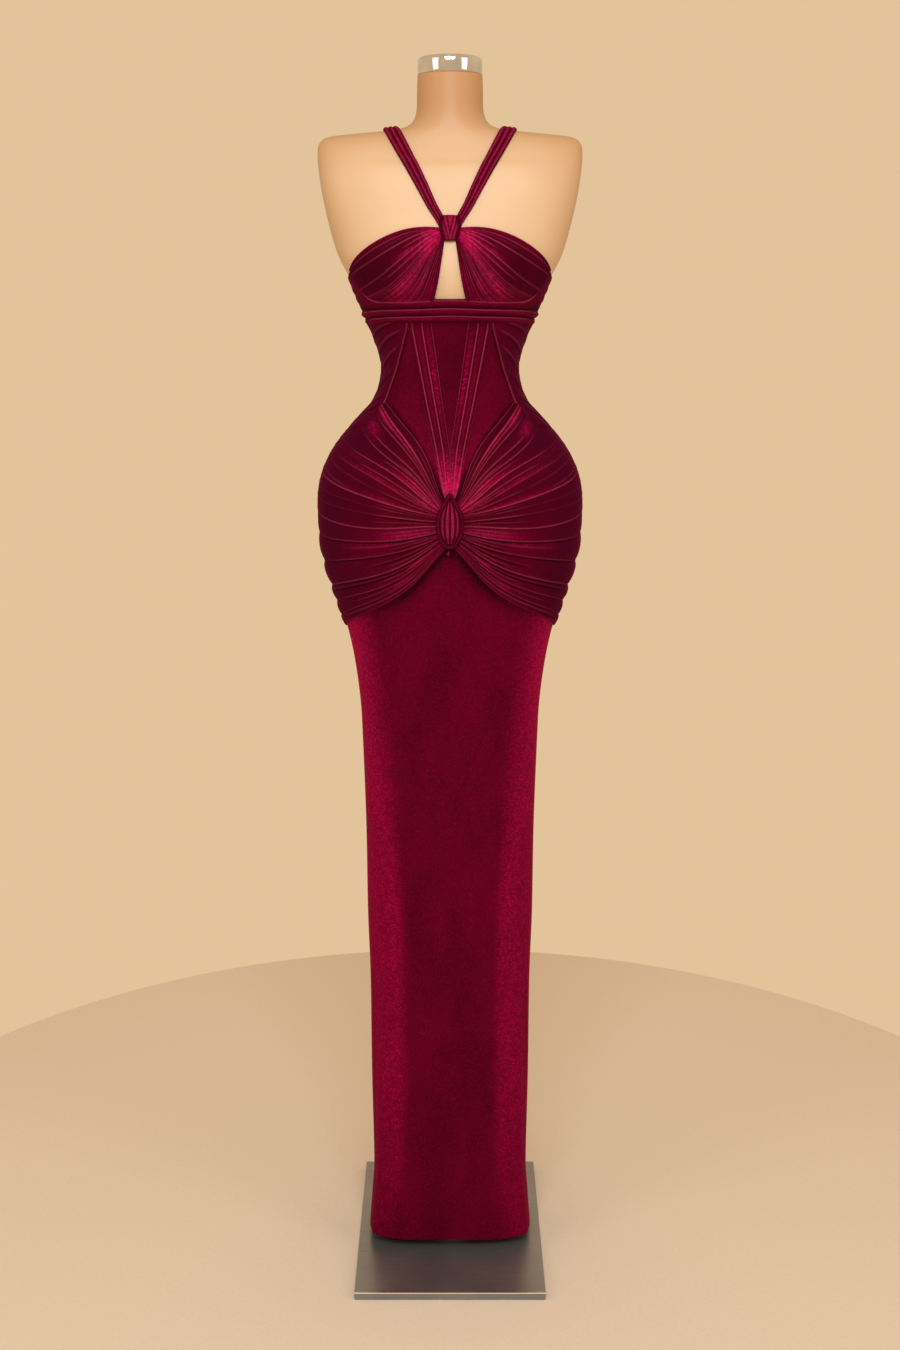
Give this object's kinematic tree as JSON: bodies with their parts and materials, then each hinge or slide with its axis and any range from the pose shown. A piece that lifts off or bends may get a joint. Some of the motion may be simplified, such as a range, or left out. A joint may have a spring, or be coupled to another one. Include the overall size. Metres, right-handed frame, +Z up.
{
  "type": "evening dress on a limbless dress form",
  "caption": "Floor-length velvet evening dress with halter straps, corset front and draped hips, on a limbless dress form with a steel base plate.",
  "frame": {"origin": "on the floor under the middle of the base plate, on the pole's axis", "axes": "+Z up, the dress's front faces -Y, the wearer's left is +X"},
  "size_m": [0.3894, 0.386, 1.8],
  "materials": {
    "velvet": "wine red stretch velvet with a soft directional sheen",
    "form_skin": "smooth satin skin of a dress form, warm beige",
    "chrome": "polished",
    "brushed_steel": "brushed, with a polished edge"
  },
  "bodies": {
    "root": {"base_plate": "brushed_steel", "pole": "brushed_steel", "form_torso": "form_skin", "neck_cap": "chrome", "skirt_front": "velvet", "skirt_back_left": "velvet", "skirt_back_right": "velvet", "centre_front_panel": "velvet", "front_pleats_left": "velvet", "front_pleats_right": "velvet", "side_front_left": "velvet", "side_front_right": "velvet", "side_drape_left": "velvet", "side_drape_right": "velvet", "bodice_back_left": "velvet", "bodice_back_right": "velvet", "band_front": "velvet", "band_back_left": "velvet", "band_back_right": "velvet", "hip_drape_front_left": "velvet", "hip_drape_front_right": "velvet", "hip_drape_back_left": "velvet", "hip_drape_back_right": "velvet", "cup_left": "velvet", "cup_right": "velvet", "knot": "velvet", "strap_left": "velvet", "strap_right": "velvet", "ornament_rim": "velvet", "ornament_core": "velvet", "ornament_tie": "velvet"}
  },
  "joints": []
}
